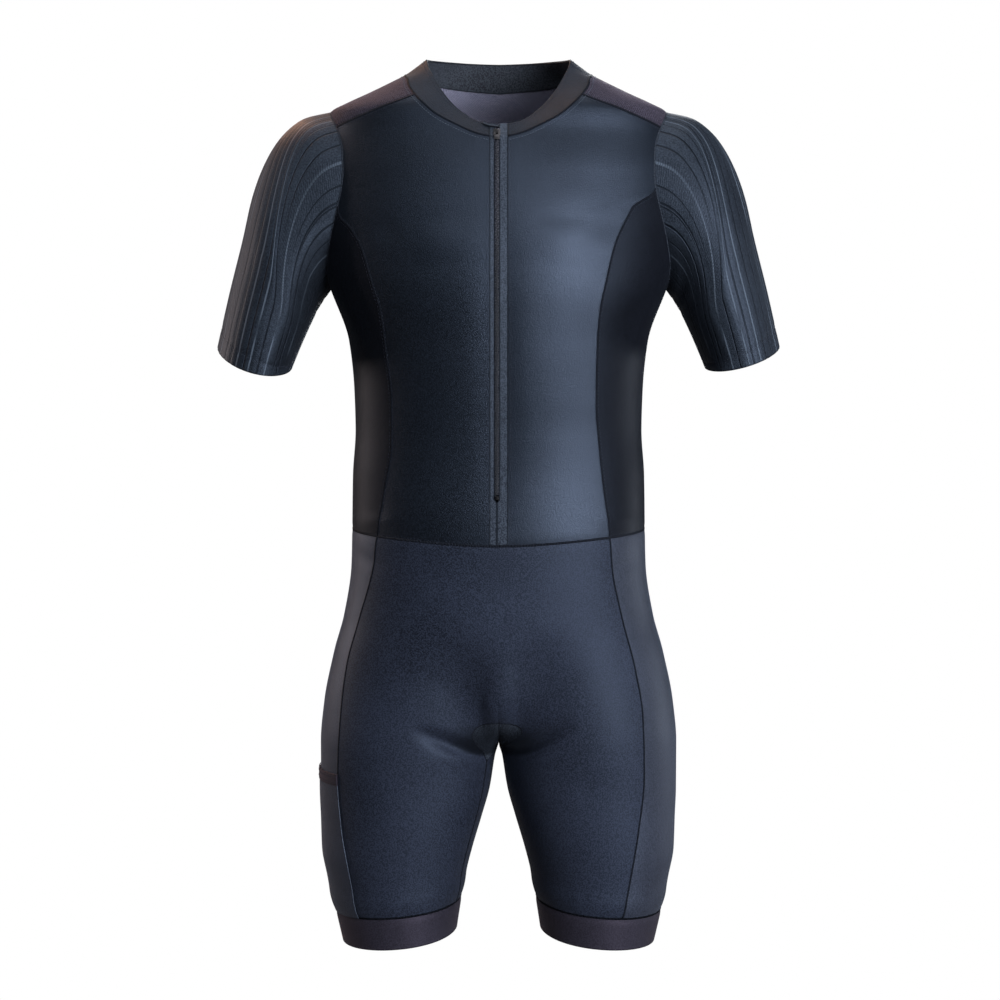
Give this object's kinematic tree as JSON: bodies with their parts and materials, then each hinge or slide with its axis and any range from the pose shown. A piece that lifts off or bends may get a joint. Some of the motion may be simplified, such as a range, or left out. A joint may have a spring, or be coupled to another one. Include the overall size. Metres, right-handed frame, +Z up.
{
  "type": "short-sleeved triathlon suit",
  "caption": "Worn, hollow short-sleeved triathlon suit with a front zip, stand collar, ribbed sleeves, thigh pocket and gripper hem bands.",
  "frame": {"origin": "middle of the neck base, level with the collar seam at the sides of the neck, where the shoulders hold the suit", "axes": "+Z up along the suit, front faces -Y, +X is the wearer's left"},
  "size_m": [0.5768, 0.2406, 0.9099],
  "materials": {
    "sheen_front": "smooth stretch knit with a soft sheen",
    "side_cloth": "smooth black stretch knit",
    "mesh_back": "fine matt mesh knit",
    "ribbed_sleeve": "ribbed stretch knit",
    "collar_cloth": "matt knit",
    "shorts_cloth": "matt compressive knit",
    "gusset_cloth": "textured matt knit",
    "band_cloth": "doubled elastic knit",
    "zip_tape": "woven tape",
    "zip_coil": "moulded coil",
    "zip_metal": "dark lacquered metal"
  },
  "bodies": {
    "suit": {"front_left": "sheen_front", "front_right": "sheen_front", "side_left": "side_cloth", "side_right": "side_cloth", "back": "mesh_back", "sleeve_left": "ribbed_sleeve", "sleeve_right": "ribbed_sleeve", "collar": "collar_cloth", "shorts_front": "shorts_cloth", "shorts_back": "shorts_cloth", "shorts_side_left": "side_cloth", "shorts_side_right": "side_cloth", "crotch_gusset": "gusset_cloth", "hem_band_left": "band_cloth", "hem_band_right": "band_cloth", "thigh_pocket": "side_cloth", "pocket_binding": "band_cloth", "zip_tape_left": "zip_tape", "zip_tape_right": "zip_tape", "zip_guard": "zip_tape", "zip_coil": "zip_coil", "zip_stop": "zip_metal", "zip_slider": "zip_metal"},
    "pull_tab": {"pull_tab": "zip_metal"}
  },
  "joints": [
    {"name": "pull_tab_hinge", "type": "hinge", "parent": "suit", "child": "pull_tab", "pos_m": [-0.0015, -0.08839, -0.06319], "axis": [-1, 0, 0], "range_deg": [0, 135]}
  ]
}
